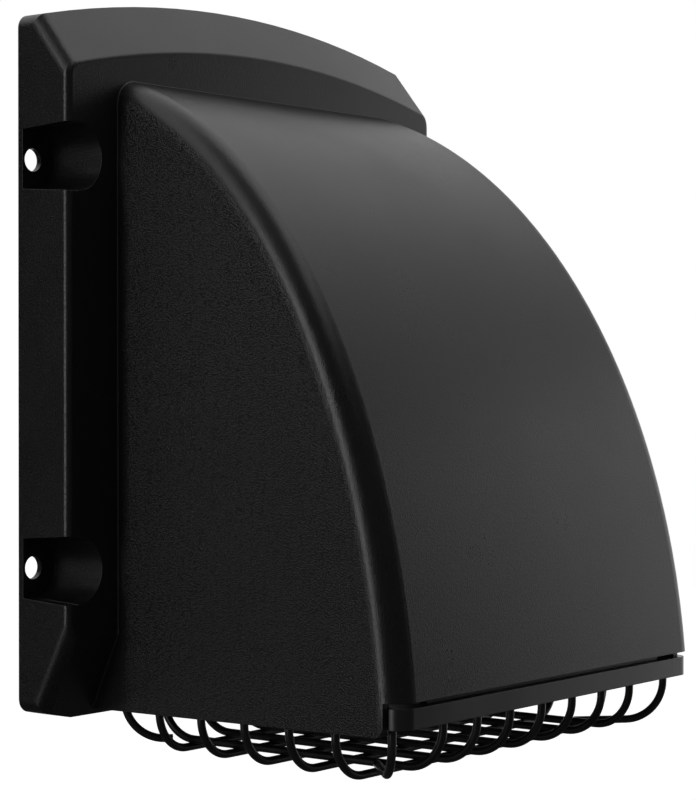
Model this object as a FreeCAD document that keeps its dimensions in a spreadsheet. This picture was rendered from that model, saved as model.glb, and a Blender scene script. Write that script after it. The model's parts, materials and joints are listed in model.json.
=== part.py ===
"""Dryer vent cap: a moulded wall hood with a wire guard in its mouth and a gravity damper inside.

Millimetres, +Z up. The wall is the plane y = 0 and the cap faces -Y.
The origin is in the wall plane, in the middle of the four screw holes.
"""
import FreeCAD, Part
import os

import Sketcher
from FreeCAD import Placement, Rotation, Vector

DIMENSIONS = {
    # wall flange
    "flange_width": 171.0,
    "crown_margin": 12.9,
    "arch_radius": 371.0,
    "flange_depth": 19.5,
    "rim_depth": 7.6,
    "top_bevel_height": 14.5,
    "bottom_bevel_height": 24.0,
    "bottom_drop": 100.3,
    "bottom_corner_rise": 2.8,
    "wall": 2.5,
    "flange_corner_round": 4.0,
    "flange_edge_round": 2.0,
    # screw pockets
    "screw_edge_distance": 4.0,
    "screw_spacing_up": 115.0,
    "screw_hole_diameter": 6.5,
    "pocket_floor": 1.8,
    "pocket_floor_radius": 8.4,
    "pocket_front_radius": 9.6,
    # curved hood
    "hood_reach": 126.4,
    "hood_crown": 84.6,
    "curve_centre_back": 8.3,
    "curve_centre_drop": 109.1,
    "flange_shoulder": 19.7,
    "hood_flare": 10.1,
    "mouth_rise": 4.9,
    "mouth_slope": 3.4,
    "hood_top_round": 6.8,
    "hood_lip_round": 7.0,
    "hood_root_round": 0.4,
    "lip_show": 8.7,
    "side_wall_setback": 6.4,
    "side_wall_round": 3.0,
    # guard frame in the mouth
    "guard_clearance": 0.3,
    "lip_recess": 1.3,
    "lip_side_recess": 2.1,
    "lip_groove": 1.5,
    "frame_height": 5.5,
    "frame_ledge": 7.0,
    "frame_back_gap": 0.8,
    "tongue_rise": 8.0,
    "tongue_thickness": 2.0,
    "tongue_side_gap": 14.0,
    # guard wires
    "wire_diameter": 2.3,
    "wire_bend_radius": 11.5,
    "wire_inset": 3.5,
    "wire_front_inset": 5.8,
    "wire_back_inset": 6.0,
    "wire_leg": 2.15,
    "weld_sink": 0.1,
    "cross_wire_pitch": 17.0,
    "cross_wire_setback": 5.3,
    "fore_wire_margin": 11.6,
    "front_corner_setback": 0.9,
    "back_corner_inset": 1.5,
    # duct collar
    "collar_diameter": 101.0,
    "collar_wall": 2.0,
    "collar_length": 30.0,
    "collar_lead_in": 1.0,
    "seat_reach": 21.0,
    "plate_thickness": 2.5,
    "plate_side_gap": 1.4,
    "plate_clearance": 0.2,
    # damper
    "damper_overlap": 3.0,
    "damper_thickness": 2.0,
    "damper_rib_inset": 9.0,
    "damper_rib": 1.5,
    "seal_thickness": 1.5,
    "seal_width": 5.0,
    "seat_gap": 0.3,
    "pin_diameter": 3.0,
    "pin_overhang": 5.5,
    "pin_fit": 0.05,
    "hinge_rise": 7.5,
    "hinge_setback": 1.0,
    "knuckle_radius": 3.6,
    "knuckle_length": 8.0,
    "knuckle_spacing": 36.0,
    "ear_thickness": 4.0,
    "ear_gap": 0.5,
}

CROSS_WIRES = 5
FORE_WIRES = 7
CLEAR = 1.0

doc = FreeCAD.newDocument("dryer_vent_cap")
dims = doc.addObject("Spreadsheet::Sheet", "dims")
for row, (alias, value) in enumerate(DIMENSIONS.items(), start=1):
    dims.set(f"A{row}", alias)
    dims.set(f"B{row}", str(value))
    dims.setAlias(f"B{row}", alias)
doc.recompute()

FACING_FRONT = Rotation(Vector(1, 0, 0), 90)
FACING_SIDE = Rotation(0.5, 0.5, 0.5, 0.5)
FLAT = Rotation()


def size(text):
    """The value of a formula of sheet cells."""
    return float(dims.evalExpression(text))


def cells(text):
    """Write a formula of short cell names as one the document can bind to."""
    for alias in sorted(DIMENSIONS, key=len, reverse=True):
        text = text.replace(f"${alias}", f"dims.{alias}")
    return text


def bind(obj, **formulas):
    """Bind properties of an object to formulas of sheet cells; a double underscore stands for a dot."""
    for name, text in formulas.items():
        obj.setExpression(name.replace("__", "."), cells(text))
    return obj


def place(obj, x="0", y="0", z="0", rotation=FLAT):
    """Turn an object and bind its position to the sheet."""
    obj.Placement = Placement(Vector(), rotation)
    return bind(obj, Placement__Base__x=x, Placement__Base__y=y, Placement__Base__z=z)


def add(kind, name, **formulas):
    """Add a primitive whose sizes are bound to the sheet."""
    return bind(doc.addObject(kind, name), **formulas)


def coordinate(sketch, kind, edge, end, text):
    """Hold one coordinate of a sketch point at a formula."""
    index = sketch.addConstraint(Sketcher.Constraint(kind, edge, end, size(cells(text))))
    sketch.setExpression(f"Constraints[{index}]", cells(text))


def polygon(name, rotation, points):
    """A closed sketch of straight edges through points given as pairs of formulas."""
    sketch = doc.addObject("Sketcher::SketchObject", name)
    sketch.Placement = Placement(Vector(), rotation)
    seeds = [Vector(size(cells(u)), size(cells(v)), 0) for u, v in points]
    count = len(points)
    for i in range(count):
        sketch.addGeometry(Part.LineSegment(seeds[i], seeds[(i + 1) % count]))
    for i in range(count):
        sketch.addConstraint(Sketcher.Constraint("Coincident", i, 2, (i + 1) % count, 1))
    for i, (u, v) in enumerate(points):
        coordinate(sketch, "DistanceX", i, 1, u)
        coordinate(sketch, "DistanceY", i, 1, v)
    return sketch


def extrude(name, profile, length, symmetric=True):
    """Extrude a closed profile along its normal."""
    body = doc.addObject("Part::Extrusion", name)
    body.Base = profile
    body.DirMode = "Normal"
    body.Solid = True
    body.Symmetric = symmetric
    return bind(body, LengthFwd=length)


def common(name, shapes):
    """The space that all the shapes share."""
    body = doc.addObject("Part::MultiCommon", name)
    body.Shapes = shapes
    return body


def fuse(name, shapes):
    """One body out of several shapes."""
    body = doc.addObject("Part::MultiFuse", name)
    body.Shapes = shapes
    body.Refine = True
    return body


def cut(name, base, tool):
    """One shape less another."""
    body = doc.addObject("Part::Cut", name)
    body.Base = base
    body.Tool = tool
    body.Refine = True
    return body


def mirror(name, source, normal):
    """The mirror image of a shape in a plane through the origin."""
    body = doc.addObject("Part::Mirroring", name)
    body.Source = source
    body.Normal = normal
    return body


def compound(name, shapes):
    """Separate solids kept together."""
    body = doc.addObject("Part::Compound", name)
    body.Links = shapes
    return body


def round_edges(name, base, chosen):
    """Round edges of a body: pairs of a test on the edge and its start and end radius."""
    doc.recompute()
    edges = []
    for index, edge in enumerate(base.Shape.Edges, start=1):
        for test, start, end in chosen:
            if test(edge):
                edges.append((index, start, end))
                break
    body = doc.addObject("Part::Fillet", name)
    body.Base = base
    body.Edges = edges
    return body


# Wall flange: a deep tray with straight sides, arched top and bottom and a bevel above and below.

ARCH_SPRING = "sqrt($arch_radius^2 - ($flange_width / 2)^2)"
ARCH_Z = f"($hood_crown + $crown_margin - {ARCH_SPRING})"
BASE_ARCH_Z = f"({ARCH_SPRING} - $bottom_drop + $bottom_corner_rise)"
SILL_Z = "(-$bottom_drop + $bottom_bevel_height)"
BEVEL_DEPTH = "($flange_depth - $rim_depth)"


def flange_body(name, inset, back):
    """The tray's solid, or its hollow when it is inset by the wall."""
    low = f"-$bottom_drop + {inset}"
    front = f"-$flange_depth + {inset}"
    low_rim = f"-$rim_depth + {inset} - {inset} * {BEVEL_DEPTH} / $bottom_bevel_height"
    top_rim = f"-$rim_depth + {inset} - {inset} * {BEVEL_DEPTH} / $top_bevel_height"
    above = f"{ARCH_Z} + $arch_radius + {CLEAR}"
    side = polygon(f"{name}_side", FACING_SIDE, [
        (back, low), (low_rim, low), (front, SILL_Z), (front, above), (back, above)])
    block = extrude(f"{name}_block", side, f"$flange_width - 2 * {inset}")
    arch_profile = polygon(f"{name}_arch_profile", FLAT, [
        ("0", back), (f"$arch_radius - {inset}", back), (f"$arch_radius - {inset}", top_rim),
        ("$arch_radius - $top_bevel_height", front), ("0", front)])
    bind(arch_profile, Placement__Base__z=ARCH_Z)
    arch = doc.addObject("Part::Revolution", f"{name}_arch")
    arch.Source = arch_profile
    arch.Axis = Vector(0, 1, 0)
    arch.Angle = 360
    arch.Solid = True
    bind(arch, Base__z=ARCH_Z)
    base_arch = add("Part::Cylinder", f"{name}_base_arch", Radius=f"$arch_radius - {inset}",
                    Height=f"{back} - ({front})")
    place(base_arch, y=back, z=BASE_ARCH_Z, rotation=FACING_FRONT)
    return common(name, [block, arch, base_arch])


def is_outline_corner(edge):
    """Edges between a side and the arch or its bevel."""
    box = edge.BoundBox
    on_side = abs(abs(box.Center.x) - size("dims.flange_width") / 2) < 0.01 and box.XLength < 0.01
    return on_side and box.YLength > 0.5


def is_front_edge(edge):
    """Edges of the flange's front face."""
    box = edge.BoundBox
    return box.YLength < 0.01 and abs(box.Center.y + size("dims.flange_depth")) < 0.01


flange_sharp = flange_body("flange_sharp", "0", "0")
corner = size("dims.flange_corner_round")
front = size("dims.flange_edge_round")
flange_block = round_edges("flange_block", flange_sharp, [
    (is_outline_corner, corner, corner), (is_front_edge, front, front)])
flange_hollow = flange_body("flange_hollow", "$wall", f"{CLEAR}")

# Screw pockets: half-round channels open at the flange's sides, with a floor on the wall plane.

SCREW_X = "($flange_width / 2 - $screw_edge_distance)"
SCREW_Z = "$screw_spacing_up / 2"
POCKET_FLARE = f"($pocket_front_radius - $pocket_floor_radius) * {CLEAR} / ($flange_depth - $pocket_floor)"


def pocket_body(name, floor, grow):
    """The upper right pocket: a tapered round end and the channel that opens it sideways."""
    near = f"$pocket_floor_radius + {grow}"
    far = f"$pocket_front_radius + {POCKET_FLARE} + {grow}"
    mouth = f"-$flange_depth - {CLEAR}"
    end = add("Part::Cone", f"{name}_end", Radius1=near, Radius2=far, Height=f"-({floor}) - ({mouth})")
    place(end, x=SCREW_X, y=floor, z=SCREW_Z, rotation=FACING_FRONT)
    section = polygon(f"{name}_section", FACING_SIDE, [
        (floor, f"{SCREW_Z} - ({near})"), (floor, f"{SCREW_Z} + {near}"),
        (mouth, f"{SCREW_Z} + {far}"), (mouth, f"{SCREW_Z} - ({far})")])
    bind(section, Placement__Base__x=SCREW_X)
    channel = extrude(f"{name}_channel", section, f"$flange_width / 2 - {SCREW_X} + {CLEAR}", symmetric=False)
    return fuse(name, [end, channel])


def at_four_corners(name, source):
    """A shape of the upper right quarter, repeated in all four."""
    left = mirror(f"{name}_left", source, Vector(1, 0, 0))
    low_right = mirror(f"{name}_low_right", source, Vector(0, 0, 1))
    low_left = mirror(f"{name}_low_left", left, Vector(0, 0, 1))
    return fuse(f"{name}_all", [source, left, low_right, low_left])


pockets = at_four_corners("pocket", pocket_body("pocket", "-$pocket_floor", "0"))
bosses = at_four_corners("boss", pocket_body("boss", f"{CLEAR}", "$wall"))
screw_hole = add("Part::Cylinder", "screw_hole", Radius="$screw_hole_diameter / 2",
                 Height=f"$pocket_floor + 2 * {CLEAR}")
place(screw_hole, x=SCREW_X, y=f"{CLEAR}", z=SCREW_Z, rotation=FACING_FRONT)
screw_holes = at_four_corners("screw_hole", screw_hole)

# Curved hood: an elliptical front between two sides that flare towards the front, open below.

FLARE = "($hood_flare / ($hood_reach - $flange_depth))"
FAR = "($hood_reach + 20)"
HOOD_SPAN = "($flange_width + 2 * $hood_flare)"
MOUTH_DROP = "($bottom_drop - $mouth_rise)"
PANEL_DROP = f"({MOUTH_DROP} - $lip_show)"
SIDE_END = "($hood_reach - $side_wall_setback)"


def half_width(reach):
    """Outer half width of the hood at a distance from the wall."""
    return f"($flange_width / 2 - $flange_shoulder + {FLARE} * ({reach} - $flange_depth))"


def mouth_level(reach):
    """Height of the hood's lower edge at a distance from the wall."""
    return f"(-{MOUTH_DROP} - $mouth_slope + $mouth_slope * ({reach}) / $hood_reach)"


def hood_body(name, inset, back, open_below):
    """The hood's solid, or its hollow when it is inset by the wall."""
    oval = add("Part::Ellipse", f"{name}_oval", MajorRadius=f"$hood_crown + $curve_centre_drop - {inset}",
               MinorRadius=f"$hood_reach + $curve_centre_back - {inset}")
    place(oval, y="$curve_centre_back", z="-$curve_centre_drop", rotation=Rotation(Vector(0, 1, 0), -90))
    curve = extrude(f"{name}_curve", oval, HOOD_SPAN)
    near = f"{half_width(back)} - {inset}"
    far = f"{half_width(FAR)} - {inset}"
    plan = polygon(f"{name}_plan", FLAT, [
        (f"-({near})", f"-({back})"), (f"-({far})", f"-{FAR}"), (far, f"-{FAR}"), (near, f"-({back})")])
    sides = extrude(f"{name}_sides", plan, "4 * $curve_centre_drop")
    above = f"$hood_crown + {CLEAR}"
    edge = polygon(f"{name}_edge", FACING_SIDE, [
        (f"-({back})", f"{mouth_level(back)} - {open_below}"),
        (f"-{FAR}", f"{mouth_level(FAR)} - {open_below}"),
        (f"-{FAR}", above), (f"-({back})", above)])
    mouth = extrude(f"{name}_mouth", edge, HOOD_SPAN)
    return common(name, [curve, sides, mouth])


def is_hood_shoulder(edge):
    """The two long edges between the curved front and a side."""
    box = edge.BoundBox
    return box.ZLength > size("dims.hood_crown") and box.YLength > size("dims.hood_reach") / 2


def rounded_hood(name, sharp, inset):
    """Round the hood's shoulders, more at the wall than at the mouth."""
    doc.recompute()
    top = size("dims.hood_top_round") - inset
    lip = size("dims.hood_lip_round") - inset
    starts_high = [e for e in sharp.Shape.Edges if is_hood_shoulder(e) and e.Vertexes[0].Z > e.Vertexes[-1].Z]
    high_first = [e.BoundBox.Center.x for e in starts_high]

    def runs_down(edge):
        return is_hood_shoulder(edge) and edge.BoundBox.Center.x in high_first

    def runs_up(edge):
        return is_hood_shoulder(edge) and edge.BoundBox.Center.x not in high_first

    return round_edges(name, sharp, [(runs_down, top, lip), (runs_up, lip, top)])


hood_block = rounded_hood("hood_block", hood_body("hood_sharp", "0", "0", "0"), 0.0)
hood_hollow_sharp = hood_body("hood_hollow_sharp", "$wall", f"-{CLEAR}", "$frame_ledge")
hood_hollow = rounded_hood("hood_hollow", hood_hollow_sharp, size("dims.wall"))

# The outside in one piece, with a small round where the hood grows out of the flange.


def is_hood_root(edge):
    """Edges between the flange's front face and the hood."""
    box = edge.BoundBox
    on_face = box.YLength < 0.01 and abs(box.Center.y + size("dims.flange_depth")) < 0.01
    beside = abs(box.Center.x) < size(cells(half_width("$flange_depth"))) + 0.01
    return on_face and beside and size(cells(SILL_Z)) < box.Center.z < size("dims.hood_crown") - 0.01


root = size("dims.hood_root_round")
outside_sharp = fuse("outside_sharp", [flange_block, hood_block])
outside = round_edges("outside", outside_sharp, [(is_hood_root, root, root)])

# The front panel stops short of the side walls' lower edge, to show the guard frame's lip.

lip_notch = add("Part::Box", "lip_notch", Length=HOOD_SPAN, Width=f"{FAR} - {SIDE_END}",
                Height="$curve_centre_drop")
place(lip_notch, x=f"-{HOOD_SPAN} / 2", y=f"-{FAR}", z=f"-{PANEL_DROP} - $curve_centre_drop")
outside_notched = cut("outside_notched", outside, lip_notch)


def is_side_wall_corner(edge):
    """The lower front edge of the side walls."""
    box = edge.BoundBox
    at_end = abs(box.Center.y + size(cells(SIDE_END))) < 0.01
    level = box.YLength < 0.01 and box.ZLength < 0.01
    return at_end and level and box.Center.z < -size(cells(PANEL_DROP)) - CLEAR


wall_round = size("dims.side_wall_round")
outside_cut = round_edges("outside_cut", outside_notched, [(is_side_wall_corner, wall_round, wall_round)])

# The inside: the hood's hollow, the flange's hollow and the window between them above the sill.

hood_void = cut("hood_void", hood_hollow, flange_block)
flange_core = cut("flange_core", flange_hollow, bosses)
above_sill = add("Part::Box", "above_sill", Length=HOOD_SPAN, Width=f"$flange_depth + 2 * {CLEAR}",
                 Height="2 * $curve_centre_drop")
place(above_sill, x=f"-{HOOD_SPAN} / 2", y=f"-$flange_depth - {CLEAR}", z=SILL_Z)
window = common("window", [hood_hollow, above_sill])
hood_open = cut("hood_open", outside_cut, hood_void)
hood_pocketed = cut("hood_pocketed", hood_open, pockets)
hood_cored = cut("hood_cored", hood_pocketed, flange_core)
hood_windowed = cut("hood_windowed", hood_cored, window)
hood_shell = cut("hood_shell", hood_windowed, screw_holes)

# Guard frame: a ring inside the mouth; its front bar shows below the panel as a recessed lip.

LIP_TOP = f"(-{PANEL_DROP} - $lip_groove)"
LIP_REACH = "($hood_reach - $lip_recess)"
LIP_MIDDLE = f"(({LIP_REACH} + {SIDE_END}) / 2)"
FRAME_DROP = f"({PANEL_DROP} + $lip_groove + $frame_height)"
SILL_REACH = f"($flange_depth - {BEVEL_DEPTH} * ({SILL_Z} - {LIP_TOP}) / $bottom_bevel_height)"
FRAME_BACK = f"({SILL_REACH} + $frame_back_gap)"


def panel_inside(level):
    """Y of the front panel's inner face at a height."""
    rise = f"(({level} + $curve_centre_drop) / ($hood_crown + $curve_centre_drop - $wall))"
    return f"($curve_centre_back - ($hood_reach + $curve_centre_back - $wall) * sqrt(1 - {rise}^2))"


def frame_half_width(reach):
    """Outer half width of the guard frame at a distance from the wall."""
    return f"({half_width(reach)} - $wall - $guard_clearance)"


def frame_plan(name, inset, front, nip):
    """Plan of the ring, or of its inside, with nipped front corners that clear the hood's rounded ones."""
    back = f"({FRAME_BACK} + {inset})"
    turn = f"({front} - $hood_lip_round)"
    near = f"{frame_half_width(back)} - {inset}"
    far = f"{frame_half_width(turn)} - {inset}"
    tip = f"{far} - {nip}"
    outline = polygon(name, FLAT, [
        (f"-({near})", f"-{back}"), (f"-({far})", f"-{turn}"), (f"-({tip})", f"-{front}"),
        (tip, f"-{front}"), (far, f"-{turn}"), (near, f"-{back}")])
    return bind(outline, Placement__Base__z=f"-{FRAME_DROP} - {inset}")


outside_plan = frame_plan("frame_outside_plan", "0", LIP_MIDDLE, "$wall")
frame_outside = extrude("frame_outside", outside_plan, "$frame_height", symmetric=False)
inside_plan = frame_plan("frame_inside_plan", "$frame_ledge", f"({LIP_REACH} - $frame_ledge)", "$wall")
frame_inside = extrude("frame_inside", inside_plan, "$frame_height + 2 * $frame_ledge", symmetric=False)
lip_half = f"({half_width(SIDE_END)} - $lip_side_recess)"
lip_depth = f"({LIP_REACH} - {SIDE_END} - $guard_clearance)"
lip_bar = add("Part::Box", "lip_bar", Length=f"2 * {lip_half}", Width=lip_depth, Height="$frame_height")
place(lip_bar, x=f"-{lip_half}", y=f"-{LIP_REACH}", z=f"-{FRAME_DROP}")


def is_lip_corner(edge):
    """Upright edges at the lip's two front corners."""
    box = edge.BoundBox
    return box.YLength < 0.01 and box.XLength < 0.01 and box.Center.y < -size(cells(LIP_REACH)) + 0.01


lip_round = min(size("dims.hood_lip_round - dims.lip_recess"), size(cells(lip_depth)) - 0.2)
lip_front = round_edges("lip_front", lip_bar, [(is_lip_corner, lip_round, lip_round)])
tongue_half = f"({frame_half_width(LIP_REACH)} - $tongue_side_gap)"
tongue = add("Part::Box", "tongue", Length=f"2 * {tongue_half}", Width="$tongue_thickness",
             Height="$frame_height + $tongue_rise")
place(tongue, x=f"-{tongue_half}", y=f"{panel_inside(f'{LIP_TOP} + $tongue_rise')} + $guard_clearance",
      z=f"-{FRAME_DROP}")
frame_solid = fuse("frame_solid", [frame_outside, lip_front])
frame_ring = cut("frame_ring", frame_solid, frame_inside)
guard_frame = fuse("guard_frame", [frame_ring, tongue])

# Guard wires: bent rods in two welded layers, their ends butted against the frame's underside.

FORE_DROP = f"({FRAME_DROP} + $wire_leg + $wire_bend_radius)"
CROSS_DROP = f"({FORE_DROP} + $wire_diameter - $weld_sink)"
FRONT_ROW = f"({LIP_REACH} - $wire_front_inset)"
BACK_ROW = f"({FRAME_BACK} + $wire_back_inset)"
CROSS_MIDDLE = f"(({FRONT_ROW} + {BACK_ROW}) / 2 - $cross_wire_setback)"
FRONT_CORNER = f"({FRONT_ROW} - $front_corner_setback)"
BACK_CORNER = f"({FRAME_BACK} + $back_corner_inset)"
FORE_HALF = f"({frame_half_width(BACK_CORNER)} - $wire_inset - $fore_wire_margin)"
FORE_EDGE = f"({FORE_HALF} + $wire_diameter / 2 - $weld_sink)"


def wire_path(name, rotation, left, right, drop, both_ends):
    """A rod's centre line: down from the frame, round a bend, along, and up again where both ends turn up."""
    sketch = doc.addObject("Sketcher::SketchObject", name)
    sketch.Placement = Placement(Vector(), rotation)
    low, top, bend = -size(cells(drop)), -size(cells(FRAME_DROP)), size("dims.wire_bend_radius")
    start, end = size(cells(left)), size(cells(right))
    quarter = 1.5707963267948966
    axis = Vector(0, 0, 1)
    sketch.addGeometry(Part.LineSegment(Vector(start, top, 0), Vector(start, low + bend, 0)))
    first = Part.Circle(Vector(start + bend, low + bend, 0), axis, bend)
    sketch.addGeometry(Part.ArcOfCircle(first, 2 * quarter, 3 * quarter))
    run_end = end - bend if both_ends else end
    sketch.addGeometry(Part.LineSegment(Vector(start + bend, low, 0), Vector(run_end, low, 0)))
    sketch.addConstraint(Sketcher.Constraint("Vertical", 0))
    sketch.addConstraint(Sketcher.Constraint("Horizontal", 2))
    sketch.addConstraint(Sketcher.Constraint("Tangent", 0, 2, 1, 1))
    sketch.addConstraint(Sketcher.Constraint("Tangent", 1, 2, 2, 1))
    coordinate(sketch, "DistanceX", 0, 1, left)
    coordinate(sketch, "DistanceY", 0, 1, f"-{FRAME_DROP}")
    coordinate(sketch, "DistanceY", 2, 1, f"-({drop})")
    radius = sketch.addConstraint(Sketcher.Constraint("Radius", 1, bend))
    sketch.setExpression(f"Constraints[{radius}]", "dims.wire_bend_radius")
    if both_ends:
        second = Part.Circle(Vector(end - bend, low + bend, 0), axis, bend)
        sketch.addGeometry(Part.ArcOfCircle(second, 3 * quarter, 4 * quarter))
        sketch.addGeometry(Part.LineSegment(Vector(end, low + bend, 0), Vector(end, top, 0)))
        sketch.addConstraint(Sketcher.Constraint("Tangent", 2, 2, 3, 1))
        sketch.addConstraint(Sketcher.Constraint("Tangent", 3, 2, 4, 1))
        sketch.addConstraint(Sketcher.Constraint("Vertical", 4))
        sketch.addConstraint(Sketcher.Constraint("Equal", 1, 3))
        coordinate(sketch, "DistanceX", 4, 2, right)
        coordinate(sketch, "DistanceY", 4, 2, f"-{FRAME_DROP}")
    else:
        coordinate(sketch, "DistanceX", 2, 2, right)
    return sketch


def rod(name, path, x, y):
    """Sweep the wire's round section along a path that starts at a point under the frame."""
    section = add("Part::Circle", f"{name}_section", Radius="$wire_diameter / 2")
    place(section, x=x, y=y, z=f"-{FRAME_DROP}")
    doc.recompute()
    wire = doc.addObject("Part::Sweep", name)
    wire.Sections = [section]
    wire.Spine = (path, [f"Edge{i + 1}" for i in range(len(path.Shape.Edges))])
    wire.Solid = True
    wire.Frenet = False
    return wire


def cross_wire(index):
    """A left-to-right wire, as wide as the frame is at its place."""
    reach = f"({CROSS_MIDDLE} + {index - (CROSS_WIRES - 1) / 2} * $cross_wire_pitch)"
    half = f"({frame_half_width(reach)} - $wire_inset)"
    path = wire_path(f"cross_path_{index}", FACING_FRONT, f"-{half}", half, CROSS_DROP, True)
    bind(path, Placement__Base__y=f"-{reach}")
    return rod(f"cross_wire_{index}", path, f"-{half}", f"-{reach}")


def fore_wire(index):
    """A front-to-back wire."""
    across = f"({2 * index / (FORE_WIRES - 1) - 1} * {FORE_HALF})"
    path = wire_path(f"fore_path_{index}", FACING_SIDE, f"-{FRONT_ROW}", f"-{BACK_ROW}", FORE_DROP, True)
    bind(path, Placement__Base__x=across)
    return rod(f"fore_wire_{index}", path, across, f"-{FRONT_ROW}")


def corner_wire(name, row, side, turn):
    """A diagonal wire from one corner of the frame to the outermost front-to-back wire."""
    half = f"({frame_half_width(row)} - $wire_inset)"
    across = f"({side} * {half})"
    run = f"(sqrt(2) * ({half} - {FORE_EDGE}) - $wire_diameter / 2)"
    slant = Rotation(Vector(0, 0, 1), turn).multiply(FACING_FRONT)
    path = wire_path(f"{name}_path", slant, "0", run, FORE_DROP, False)
    bind(path, Placement__Base__x=across, Placement__Base__y=f"-{row}")
    return rod(name, path, across, f"-{row}")


guard_cross_wires = compound("guard_cross_wires", [cross_wire(i) for i in range(CROSS_WIRES)])
guard_fore_wires = compound("guard_fore_wires", [fore_wire(i) for i in range(FORE_WIRES)])
guard_corner_wires = compound("guard_corner_wires", [
    corner_wire("front_left_wire", FRONT_CORNER, -1, 45),
    corner_wire("front_right_wire", FRONT_CORNER, 1, 135),
    corner_wire("back_left_wire", BACK_CORNER, -1, -45),
    corner_wire("back_right_wire", BACK_CORNER, 1, -135)])

# Duct collar: a back plate that snaps into the flange, the pipe through it and two hinge ears.

PIPE_RADIUS = "($collar_diameter / 2)"
HINGE_Y = "(-$seat_reach + $hinge_setback)"
HINGE_Z = f"({PIPE_RADIUS} + $hinge_rise)"
KNUCKLE_END = "($knuckle_spacing / 2 + $knuckle_length / 2)"
PLATE_HALF = f"({SCREW_X} - $pocket_front_radius - $wall - $plate_side_gap)"
PIN_HALF = f"({KNUCKLE_END} + $ear_gap + $ear_thickness + $pin_overhang)"

plate_sheet = add("Part::Box", "plate_sheet", Length=f"2 * {PLATE_HALF}", Width="$plate_thickness",
                  Height="2 * $bottom_drop + $top_bevel_height")
place(plate_sheet, x=f"-{PLATE_HALF}", y="-$plate_thickness", z="-$bottom_drop + $wall + $plate_clearance")
plate_arch = add("Part::Cylinder", "plate_arch", Radius="$arch_radius - $wall - $plate_clearance",
                 Height="$plate_thickness")
place(plate_arch, z=ARCH_Z, rotation=FACING_FRONT)
back_plate = common("back_plate", [plate_sheet, plate_arch])
pipe = add("Part::Cylinder", "pipe", Radius=PIPE_RADIUS,
           Height="$collar_length - $collar_lead_in + $seat_reach")
place(pipe, y="$collar_length - $collar_lead_in", rotation=FACING_FRONT)
pipe_end = add("Part::Cone", "pipe_end", Radius1=f"{PIPE_RADIUS} - $collar_lead_in", Radius2=PIPE_RADIUS,
               Height="$collar_lead_in")
place(pipe_end, y="$collar_length", rotation=FACING_FRONT)


def hinge_ear(name, side):
    """A rib from the plate along the pipe that ends in a round nose about the pin."""
    inner = f"({KNUCKLE_END} + $ear_gap)"
    x = inner if side > 0 else f"-{inner} - $ear_thickness"
    foot = f"{PIPE_RADIUS} - $collar_wall - 6"
    rib = add("Part::Box", f"{name}_rib", Length="$ear_thickness", Width=f"-{HINGE_Y}",
              Height=f"{HINGE_Z} + $knuckle_radius - ({foot})")
    place(rib, x=x, y=HINGE_Y, z=foot)
    nose = add("Part::Cylinder", f"{name}_nose", Radius="$knuckle_radius", Height="$ear_thickness")
    place(nose, x=x, y=HINGE_Y, z=HINGE_Z, rotation=Rotation(Vector(0, 1, 0), 90))
    return fuse(name, [rib, nose])


pipe_bore = add("Part::Cylinder", "pipe_bore", Radius=f"{PIPE_RADIUS} - $collar_wall",
                Height=f"$collar_length + $seat_reach + 2 * {CLEAR}")
place(pipe_bore, y=f"$collar_length + {CLEAR}", rotation=FACING_FRONT)
pin_seat = add("Part::Cylinder", "pin_seat", Radius="$pin_diameter / 2", Height=f"2 * {PIN_HALF}")
place(pin_seat, x=f"-{PIN_HALF}", y=HINGE_Y, z=HINGE_Z, rotation=Rotation(Vector(0, 1, 0), 90))
ears = [hinge_ear("left_ear", -1), hinge_ear("right_ear", 1)]
collar_solid = fuse("collar_solid", [back_plate, pipe, pipe_end] + ears)
collar_bores = fuse("collar_bores", [pipe_bore, pin_seat])
duct_collar = cut("duct_collar", collar_solid, collar_bores)

# Damper: a round flap with two knuckles on the pin and a foam ring that meets the pipe's rim.

SEAL_FACE = "(-$seat_reach - $seat_gap)"
FLAP_BACK = f"({SEAL_FACE} - $seal_thickness)"
FLAP_RADIUS = f"({PIPE_RADIUS} + $damper_overlap)"

damper_disc = add("Part::Cylinder", "damper_disc", Radius=FLAP_RADIUS, Height="$damper_thickness")
place(damper_disc, y=FLAP_BACK, rotation=FACING_FRONT)
damper_tab = add("Part::Box", "damper_tab", Length=f"2 * {KNUCKLE_END}", Width="$damper_thickness",
                 Height=f"{HINGE_Z} + $knuckle_radius - {FLAP_RADIUS} / 2")
place(damper_tab, x=f"-{KNUCKLE_END}", y=f"{FLAP_BACK} - $damper_thickness", z=f"{FLAP_RADIUS} / 2")
rib_outside = add("Part::Cylinder", "rib_outside", Radius=f"{FLAP_RADIUS} - $damper_rib_inset",
                  Height="$damper_thickness + $damper_rib")
place(rib_outside, y=FLAP_BACK, rotation=FACING_FRONT)
rib_inside = add("Part::Cylinder", "rib_inside", Radius=f"{FLAP_RADIUS} - $damper_rib_inset - $damper_rib",
                 Height="$damper_thickness + $damper_rib")
place(rib_inside, y=FLAP_BACK, rotation=FACING_FRONT)
damper_ring = cut("damper_ring", rib_outside, rib_inside)


def damper_knuckle(name, side):
    """A barrel about the pin and the web that joins it to the flap."""
    x = f"{side} * $knuckle_spacing / 2 - $knuckle_length / 2"
    barrel = add("Part::Cylinder", f"{name}_barrel", Radius="$knuckle_radius", Height="$knuckle_length")
    place(barrel, x=x, y=HINGE_Y, z=HINGE_Z, rotation=Rotation(Vector(0, 1, 0), 90))
    web = add("Part::Box", f"{name}_web", Length="$knuckle_length", Width=f"{HINGE_Y} - {FLAP_BACK}",
              Height="2 * $knuckle_radius")
    place(web, x=x, y=FLAP_BACK, z=f"{HINGE_Z} - $knuckle_radius")
    return fuse(name, [barrel, web])


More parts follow.
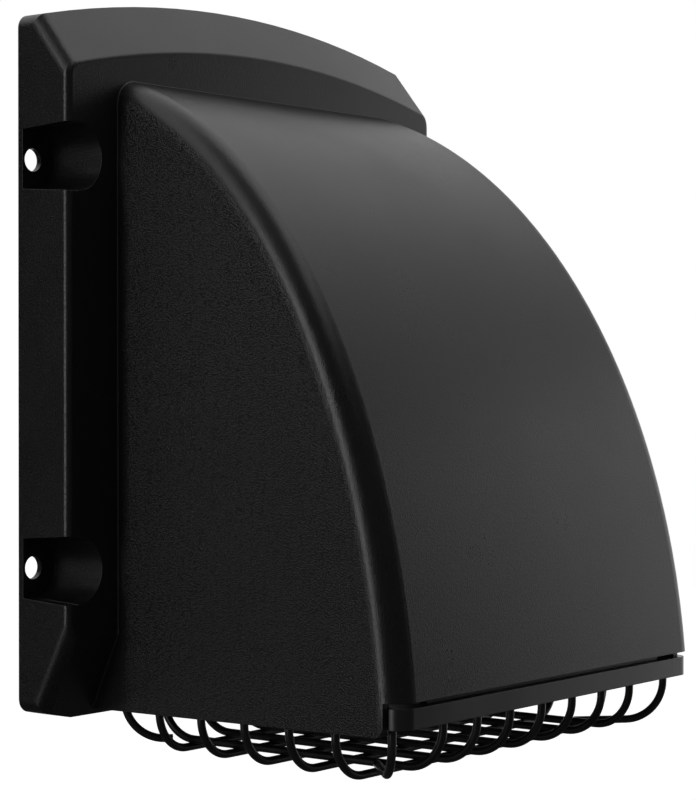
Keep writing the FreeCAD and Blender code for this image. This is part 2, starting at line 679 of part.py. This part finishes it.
pin_bore = add("Part::Cylinder", "pin_bore", Radius="$pin_diameter / 2 + $pin_fit", Height=f"2 * {PIN_HALF}")
place(pin_bore, x=f"-{PIN_HALF}", y=HINGE_Y, z=HINGE_Z, rotation=Rotation(Vector(0, 1, 0), 90))
damper_solid = fuse("damper_solid", [damper_disc, damper_tab, damper_ring, damper_knuckle("left_knuckle", -1),
                                     damper_knuckle("right_knuckle", 1)])
damper_flap = cut("damper_flap", damper_solid, pin_bore)

seal_disc = add("Part::Cylinder", "seal_disc", Radius=f"{PIPE_RADIUS} + $seal_width / 2 - $collar_wall / 2",
                Height="$seal_thickness")
place(seal_disc, y=SEAL_FACE, rotation=FACING_FRONT)
seal_hole = add("Part::Cylinder", "seal_hole", Radius=f"{PIPE_RADIUS} - $seal_width / 2 - $collar_wall / 2",
                Height="$seal_thickness")
place(seal_hole, y=SEAL_FACE, rotation=FACING_FRONT)
damper_seal = cut("damper_seal", seal_disc, seal_hole)

damper_pin = add("Part::Cylinder", "damper_pin", Radius="$pin_diameter / 2", Height=f"2 * {PIN_HALF}")
place(damper_pin, x=f"-{PIN_HALF}", y=HINGE_Y, z=HINGE_Z, rotation=Rotation(Vector(0, 1, 0), 90))

SUB_PARTS = {
    "hood_shell": hood_shell,
    "guard_frame": guard_frame,
    "guard_cross_wires": guard_cross_wires,
    "guard_fore_wires": guard_fore_wires,
    "guard_corner_wires": guard_corner_wires,
    "duct_collar": duct_collar,
    "damper_flap": damper_flap,
    "damper_seal": damper_seal,
    "damper_pin": damper_pin,
}

doc.recompute()
for obj in doc.Objects:
    if "Invalid" in obj.State or "Error" in obj.State:
        raise RuntimeError(f"{obj.Name} failed: {obj.State}")
for label, obj in SUB_PARTS.items():
    obj.Label = label
    if obj.Shape.isNull() or not obj.Shape.isValid() or not obj.Shape.Solids:
        raise RuntimeError(f"{label} has no valid solid")
    print(label, len(obj.Shape.Solids), "solids", round(obj.Shape.Volume), "mm3")

os.makedirs("parts", exist_ok=True)
for label, obj in SUB_PARTS.items():
    obj.Shape.exportStep(f"parts/{label}.step")
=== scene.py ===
"""Looks of the dryer vent cap: moulded plastic, coated wire, foam and steel under soft studio light.

Metres, +Z up. The cap faces -Y and hangs in a white surround, above a pale floor.
"""
import json
import math

import bpy
from mathutils import Matrix, Vector

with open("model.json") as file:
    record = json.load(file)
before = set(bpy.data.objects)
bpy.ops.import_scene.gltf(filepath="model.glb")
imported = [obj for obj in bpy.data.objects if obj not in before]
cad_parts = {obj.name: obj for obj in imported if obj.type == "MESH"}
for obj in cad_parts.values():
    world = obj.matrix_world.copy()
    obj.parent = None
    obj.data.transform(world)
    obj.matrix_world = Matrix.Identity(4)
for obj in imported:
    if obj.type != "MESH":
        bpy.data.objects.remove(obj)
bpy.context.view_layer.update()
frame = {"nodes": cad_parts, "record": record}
scene = bpy.context.scene
scene.view_settings.view_transform = "Standard"

WHITE = (1.0, 1.0, 1.0)
BLACK = (0.0, 0.0, 0.0)
UNIT = (0.0, 1.0)


def opaque(colour):
    """A colour with the fourth value that sockets ask for."""
    return (*colour, 1.0)


# Materials

PLASTIC_IOR = 1.5
COATING_IOR = 1.45
EDGE_SAMPLES = 6
# The part of a noise's range that most of its values lie in.
NOISE_CORE = (0.3, 0.7)
# The normal's Y, from faces that lean forward to the hood's flared sides.
SIDE_FACING = (-0.1, 0.06)
# The stretch of Y where the hood grows out of the flange's front.
HOOD_ROOT_Y = (-0.026, -0.020)
SPECKLE_SHARE = 0.2


class Graph:
    """A short way to write a material's node tree."""

    def __init__(self, name):
        self.material = bpy.data.materials.new(name)
        self.material.use_nodes = True
        self.tree = self.material.node_tree
        self.shader = self.tree.nodes["Principled BSDF"]
        coordinates = self.add("ShaderNodeTexCoord")
        self.place = coordinates.outputs["Object"]

    def add(self, kind, **settings):
        """A new node, with its settings."""
        node = self.tree.nodes.new(kind)
        for key, value in settings.items():
            setattr(node, key, value)
        return node

    def link(self, source, target):
        self.tree.links.new(source, target)

    def stretched(self, scale):
        """Object coordinates stretched by a scale for each axis."""
        mapping = self.add("ShaderNodeMapping")
        mapping.inputs["Scale"].default_value = scale
        self.link(self.place, mapping.inputs["Vector"])
        return mapping.outputs["Vector"]

    def noise(self, scale, detail=2.0, roughness=0.5, vector=None):
        """Cloudy noise: a larger scale makes finer marks."""
        node = self.add("ShaderNodeTexNoise")
        node.inputs["Scale"].default_value = scale
        node.inputs["Detail"].default_value = detail
        node.inputs["Roughness"].default_value = roughness
        self.link(vector or self.place, node.inputs["Vector"])
        return node.outputs["Fac"]

    def cells(self, scale):
        """The distance to the nearest of many scattered points."""
        node = self.add("ShaderNodeTexVoronoi", feature="F1")
        node.inputs["Scale"].default_value = scale
        self.link(self.place, node.inputs["Vector"])
        return node.outputs["Distance"]

    def spread(self, value, target=UNIT, source=UNIT):
        """A value mapped from a source range to a target range, and kept inside it."""
        node = self.add("ShaderNodeMapRange")
        sockets = ("From Min", "From Max", "To Min", "To Max")
        for socket, end in zip(sockets, (*source, *target)):
            node.inputs[socket].default_value = end
        self.link(value, node.inputs["Value"])
        return node.outputs["Result"]

    def join(self, operation, first, second):
        """Arithmetic on two values, each a socket or a plain number."""
        node = self.add("ShaderNodeMath", operation=operation)
        for socket, value in zip(node.inputs, (first, second)):
            if isinstance(value, (int, float)):
                socket.default_value = value
            else:
                self.link(value, socket)
        return node.outputs["Value"]

    def tint(self, factor, dark, light):
        """A colour between two by a factor."""
        node = self.add("ShaderNodeMix", data_type="RGBA")
        node.inputs["A"].default_value = opaque(dark)
        node.inputs["B"].default_value = opaque(light)
        self.link(factor, node.inputs["Factor"])
        return node.outputs["Result"]

    def bump(self, height, strength, distance, normal=None):
        """A normal tilted by a height, on top of another normal where one is given."""
        node = self.add("ShaderNodeBump")
        node.inputs["Strength"].default_value = strength
        node.inputs["Distance"].default_value = distance
        self.link(height, node.inputs["Height"])
        if normal is not None:
            self.link(normal, node.inputs["Normal"])
        return node.outputs["Normal"]

    def part_of(self, vector, axis):
        """One component of a vector."""
        node = self.add("ShaderNodeSeparateXYZ")
        self.link(vector, node.inputs["Vector"])
        return node.outputs[axis]

    def soft_edges(self, radius):
        """A normal that rounds every sharp edge a little."""
        node = self.add("ShaderNodeBevel", samples=EDGE_SAMPLES)
        node.inputs["Radius"].default_value = radius
        return node.outputs["Normal"]

    def finish(self, colour, roughness, normal, **fixed):
        """Feed the shader, and set the sockets that are named to plain numbers."""
        for socket, value in (("Base Color", colour), ("Roughness", roughness), ("Normal", normal)):
            self.link(value, self.shader.inputs[socket])
        for socket, number in fixed.items():
            self.shader.inputs[socket].default_value = number
        return self.material


def moulded_plastic():
    """Black plastic from a grained mould: the grain is coarser on the hood's sides than on its front."""
    graph = Graph("moulded_plastic")
    normal = graph.add("ShaderNodeNewGeometry").outputs["Normal"]
    side = graph.spread(graph.part_of(normal, "Y"), source=SIDE_FACING)
    proud = graph.spread(graph.part_of(graph.place, "Y"), target=(1.0, 0.25), source=HOOD_ROOT_Y)
    coarse = graph.spread(graph.join("MULTIPLY", side, proud), target=(0.55, 3.0))
    speckle = graph.spread(graph.noise(scale=2700.0, roughness=0.6), source=(0.36, 0.68))
    pimples = graph.spread(graph.cells(scale=2300.0), target=(1.0, 0.0), source=(0.1, 0.6))
    relief = graph.join("ADD", graph.join("MULTIPLY", speckle, SPECKLE_SHARE), pimples)
    grain = graph.join("MULTIPLY", relief, coarse)
    slow = graph.noise(scale=26.0, detail=3.0, roughness=0.55)
    sway = graph.noise(scale=7.0, detail=1.0)
    colour = graph.tint(speckle, dark=(0.0012, 0.0013, 0.0012), light=(0.0065, 0.0068, 0.0065))
    patches = graph.spread(slow, target=(0.29, 0.35), source=NOISE_CORE)
    roughness = graph.join("ADD", patches, graph.spread(speckle, target=(-0.03, 0.03)))
    waves = graph.bump(sway, strength=0.15, distance=0.0008, normal=graph.soft_edges(radius=0.0003))
    bumps = graph.bump(grain, strength=0.8, distance=0.00005, normal=waves)
    return graph.finish(colour, roughness, bumps, IOR=PLASTIC_IOR)


def smooth_plastic():
    """Black plastic from a polished mould: a satin face with a faint unevenness."""
    graph = Graph("smooth_plastic")
    peel = graph.noise(scale=240.0)
    slow = graph.noise(scale=34.0)
    flow = graph.noise(scale=60.0, vector=graph.stretched((1.0, 0.3, 0.15)))
    streaks = graph.spread(flow, source=(0.35, 0.65))
    colour = graph.tint(streaks, dark=(0.004, 0.004, 0.0042), light=(0.008, 0.008, 0.0083))
    roughness = graph.spread(slow, target=(0.26, 0.36), source=NOISE_CORE)
    bumps = graph.bump(peel, strength=0.2, distance=0.00006, normal=graph.soft_edges(radius=0.0004))
    return graph.finish(colour, roughness, bumps, IOR=PLASTIC_IOR)


def coated_wire():
    """Steel wire with a satin black coat."""
    graph = Graph("coated_wire")
    sag = graph.noise(scale=420.0)
    slow = graph.noise(scale=90.0)
    patches = graph.spread(slow, source=NOISE_CORE)
    colour = graph.tint(patches, dark=(0.003, 0.003, 0.0031), light=(0.007, 0.007, 0.0072))
    roughness = graph.spread(sag, target=(0.3, 0.42), source=NOISE_CORE)
    bumps = graph.bump(sag, strength=0.25, distance=0.00008)
    return graph.finish(colour, roughness, bumps, IOR=COATING_IOR)


def foam():
    """Closed-cell foam, with painted shade darkening the pits of its pores."""
    graph = Graph("foam")
    pores = graph.cells(scale=1700.0)
    grit = graph.noise(scale=2200.0)
    # Painted shade: the colour darkens towards each pore's centre, where the bump sinks into a pit.
    pore_pit_painted_shade = graph.spread(pores, source=(0.1, 0.7))
    colour = graph.tint(pore_pit_painted_shade, dark=(0.03, 0.03, 0.031), light=(0.07, 0.07, 0.072))
    roughness = graph.spread(grit, target=(0.85, 0.98))
    bumps = graph.bump(pores, strength=0.6, distance=0.00025)
    return graph.finish(colour, roughness, bumps)


def pin_steel():
    """Drawn steel with lines along the pin."""
    graph = Graph("pin_steel")
    along = graph.stretched((0.01, 1.0, 1.0))
    lines = graph.noise(scale=3000.0, detail=3.0, roughness=0.6, vector=along)
    colour = graph.tint(lines, dark=(0.42, 0.43, 0.45), light=(0.62, 0.63, 0.65))
    roughness = graph.spread(lines, target=(0.24, 0.42))
    bumps = graph.bump(lines, strength=0.12, distance=0.00003)
    return graph.finish(colour, roughness, bumps, Metallic=1.0)


FINISHES = {
    "moulded_plastic": moulded_plastic(),
    "smooth_plastic": smooth_plastic(),
    "coated_wire": coated_wire(),
    "foam": foam(),
    "pin_steel": pin_steel(),
}
for entry in frame["record"]["subparts"]:
    mesh = frame["nodes"][entry["node"]].data
    mesh.materials.clear()
    mesh.materials.append(FINISHES[entry["material_slot"]])


# Floor, surround and lights

# The point that the cards stand round and the lights are aimed at.
CENTRE = Vector((0.0, -0.06, 0.0))
FLOOR_LEVEL = -1.3
FLOOR_HALF = 12.0
FLOOR_TONE = (0.9, 0.9, 0.9)
FLOOR_ROUGHNESS = 0.8
FLOOR_LIFT = 0.55
FILL_LEVEL = 0.5
SEEN_LEVEL = 1.0
FLAG_STEPS = 24
DISC_STEPS = 48


def towards(bearing, distance, height):
    """A place seen from CENTRE: a bearing in degrees from +X, a level distance and a height."""
    angle = math.radians(bearing)
    return CENTRE + Vector((distance * math.cos(angle), distance * math.sin(angle), height))


def stage_material(name, colour, roughness, glow=0.0):
    """A plain surface that may glow white."""
    material = bpy.data.materials.new(name)
    material.use_nodes = True
    inputs = material.node_tree.nodes["Principled BSDF"].inputs
    inputs["Base Color"].default_value = opaque(colour)
    inputs["Roughness"].default_value = roughness
    inputs["Emission Color"].default_value = opaque(WHITE)
    inputs["Emission Strength"].default_value = glow
    return material


def seen_rays(tree):
    """One for rays that come from the camera or from a mirrored or clear surface, else nought."""
    path = tree.nodes.new("ShaderNodeLightPath")
    total = path.outputs["Is Camera Ray"]
    for kind in ("Is Glossy Ray", "Is Transmission Ray"):
        either = tree.nodes.new("ShaderNodeMath")
        either.operation = "MAXIMUM"
        tree.links.new(total, either.inputs[0])
        tree.links.new(path.outputs[kind], either.inputs[1])
        total = either.outputs["Value"]
    return total


def stage_object(name, points, faces, material):
    """A mesh that belongs to the stage and not to the cap."""
    mesh = bpy.data.meshes.new(name)
    mesh.from_pydata(points, [], faces)
    mesh.materials.append(material)
    obj = bpy.data.objects.new(name, mesh)
    scene.collection.objects.link(obj)
    return obj


def add_floor():
    """A pale floor that glows for the rays that see it, so that it looks white."""
    material = stage_material("floor_paint", FLOOR_TONE, FLOOR_ROUGHNESS)
    tree = material.node_tree
    lift = tree.nodes.new("ShaderNodeMath")
    lift.operation = "MULTIPLY"
    lift.inputs[1].default_value = FLOOR_LIFT
    tree.links.new(seen_rays(tree), lift.inputs[0])
    tree.links.new(lift.outputs["Value"], tree.nodes["Principled BSDF"].inputs["Emission Strength"])
    signs = ((-1, -1), (1, -1), (1, 1), (-1, 1))
    corners = [(a * FLOOR_HALF, b * FLOOR_HALF, FLOOR_LEVEL) for a, b in signs]
    stage_object("floor", corners, [(0, 1, 2, 3)], material)


def add_card(name, points, faces, level):
    """A grey card that shows only in reflections, at an even level."""
    material = stage_material(f"{name}_cloth", BLACK, roughness=1.0, glow=level)
    card = stage_object(name, points, faces, material)
    card.visible_camera = False
    card.visible_diffuse = False
    card.visible_shadow = False


def add_flag(name, bearings, distance, heights, level):
    """A curved upright card round the cap, between two bearings and two heights."""
    start, end = bearings
    turns = [start + (end - start) * i / FLAG_STEPS for i in range(FLAG_STEPS + 1)]
    points = [towards(turn, distance, height) for height in heights for turn in turns]
    row = len(turns)
    faces = [(i, i + 1, i + row + 1, i + row) for i in range(FLAG_STEPS)]
    add_card(name, points, faces, level)


def add_disc(name, bearing, distance, height, radius, level):
    """A round card that lies flat above or below the cap."""
    middle = towards(bearing, distance, height)
    turns = [math.tau * i / DISC_STEPS for i in range(DISC_STEPS)]
    points = [middle + radius * Vector((math.cos(turn), math.sin(turn), 0.0)) for turn in turns]
    add_card(name, points, [tuple(range(DISC_STEPS))], level)


def add_softbox(name, bearing, distance, height, size, power):
    """An area light aimed at the cap, which the camera doesn't see."""
    light = bpy.data.lights.new(name, "AREA")
    light.shape = "RECTANGLE"
    light.size, light.size_y = size
    light.energy = power
    obj = bpy.data.objects.new(name, light)
    obj.location = towards(bearing, distance, height)
    obj.rotation_euler = (CENTRE - obj.location).to_track_quat("-Z", "Y").to_euler()
    obj.visible_camera = False
    scene.collection.objects.link(obj)


def light_world():
    """A white surround for what is seen, directly or mirrored, and a softer fill for the rest."""
    world = bpy.data.worlds.new("surround")
    scene.world = world
    world.use_nodes = True
    tree = world.node_tree
    level = tree.nodes.new("ShaderNodeMapRange")
    level.inputs["To Min"].default_value = FILL_LEVEL
    level.inputs["To Max"].default_value = SEEN_LEVEL
    tree.links.new(seen_rays(tree), level.inputs["Value"])
    sky = tree.nodes["Background"]
    sky.inputs["Color"].default_value = opaque(WHITE)
    tree.links.new(level.outputs["Result"], sky.inputs["Strength"])


add_floor()
light_world()

# Cards, dark and pale, shape what the black plastic mirrors.
FOOT = -0.4
NEAR = 0.72
FRONT_END = -36.5
RIGHT_END = -5.0
add_flag("front_flag", bearings=(-178.0, FRONT_END), distance=NEAR, heights=(FOOT, 0.8), level=0.045)
add_flag("back_flag", bearings=(85.0, 160.0), distance=1.2, heights=(FOOT, 0.7), level=0.03)
add_flag("right_flag", bearings=(FRONT_END, RIGHT_END), distance=NEAR, heights=(0.24, 0.75), level=0.5)
add_flag("far_flag", bearings=(RIGHT_END, 70.0), distance=1.3, heights=(0.2, 1.3), level=0.7)
add_flag("low_flag", bearings=(FRONT_END, -33.5), distance=NEAR, heights=(FOOT, -0.1), level=0.005)
add_disc("under_card", bearing=0.0, distance=0.0, height=FOOT, radius=1.1, level=0.02)
add_disc("over_card", bearing=-142.0, distance=0.45, height=0.95, radius=0.42, level=0.2)

# The strip light draws the streak along the hood's left shoulder.
add_softbox("strip_light", bearing=170.0, distance=0.8, height=0.12, size=(0.16, 0.7), power=0.95)
add_softbox("top_light", bearing=-60.0, distance=0.5, height=1.4, size=(1.0, 0.8), power=1.0)


# Camera: the photograph's own, solved on points of it, with pixels counted from its top left

IMAGE_WIDTH = 696
IMAGE_HEIGHT = 800
FOCAL_PIXELS = 2295.35
OPTICAL_CENTRE = (357.04, 383.38)
CAMERA_PLACE = Vector((-0.540, -0.4682, -0.00436))
# From +Y towards +X, unlike the bearings of cards and lights.
CAMERA_BEARING = math.radians(52.54)
CAMERA_PITCH = math.radians(-0.11)
CAMERA_ROLL = math.radians(-0.05)
SENSOR_WIDTH = 36.0
NEAREST = 0.01
FARTHEST = 50.0


def add_camera():
    """The camera at its place, with its lens and shift worked out from the pixels."""
    forward = Vector((math.sin(CAMERA_BEARING) * math.cos(CAMERA_PITCH),
                      math.cos(CAMERA_BEARING) * math.cos(CAMERA_PITCH), math.sin(CAMERA_PITCH)))
    level = Vector((math.cos(CAMERA_BEARING), -math.sin(CAMERA_BEARING), 0.0))
    upright = level.cross(forward)
    right = level * math.cos(CAMERA_ROLL) + upright * math.sin(CAMERA_ROLL)
    up = upright * math.cos(CAMERA_ROLL) - level * math.sin(CAMERA_ROLL)
    camera = bpy.data.cameras.new("camera")
    camera.sensor_width = SENSOR_WIDTH
    camera.lens = FOCAL_PIXELS / IMAGE_HEIGHT * SENSOR_WIDTH
    camera.shift_x = (IMAGE_WIDTH / 2 - OPTICAL_CENTRE[0]) / IMAGE_HEIGHT
    camera.shift_y = (OPTICAL_CENTRE[1] - IMAGE_HEIGHT / 2) / IMAGE_HEIGHT
    camera.clip_start = NEAREST
    camera.clip_end = FARTHEST
    obj = bpy.data.objects.new("camera", camera)
    turn = Matrix((right, up, -forward)).transposed().to_4x4()
    obj.matrix_world = Matrix.Translation(CAMERA_PLACE) @ turn
    scene.collection.objects.link(obj)
    scene.camera = obj


add_camera()
